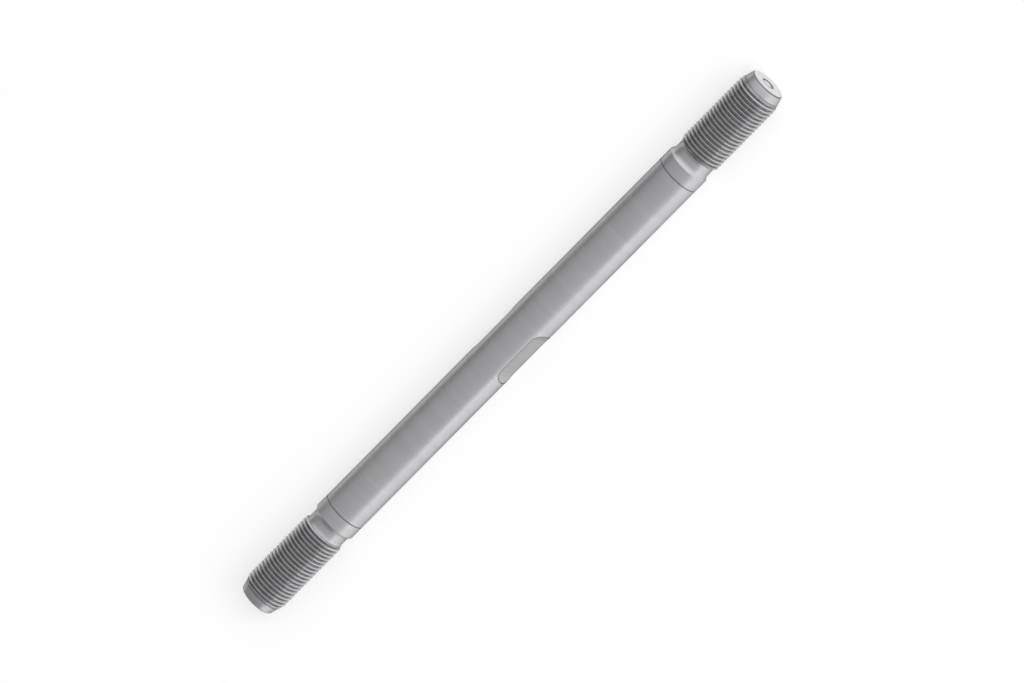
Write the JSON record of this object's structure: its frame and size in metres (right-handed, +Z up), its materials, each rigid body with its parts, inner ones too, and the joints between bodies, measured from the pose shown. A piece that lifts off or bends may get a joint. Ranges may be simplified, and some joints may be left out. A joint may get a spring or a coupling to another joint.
{
  "type": "extension rod",
  "caption": "Round steel extension rod with a male metric fine thread at each end, relief grooves behind the threads and a pair of wrench flats at mid length",
  "frame": {"origin": "middle of the rod, on its axis", "axes": "+X along the rod, the wrench flats face +Y and -Y, +Z up"},
  "size_m": [0.253, 0.016, 0.016],
  "materials": {
    "steel": "fine turned, satin"
  },
  "bodies": {
    "root": {"extension_rod": "steel"}
  },
  "joints": []
}
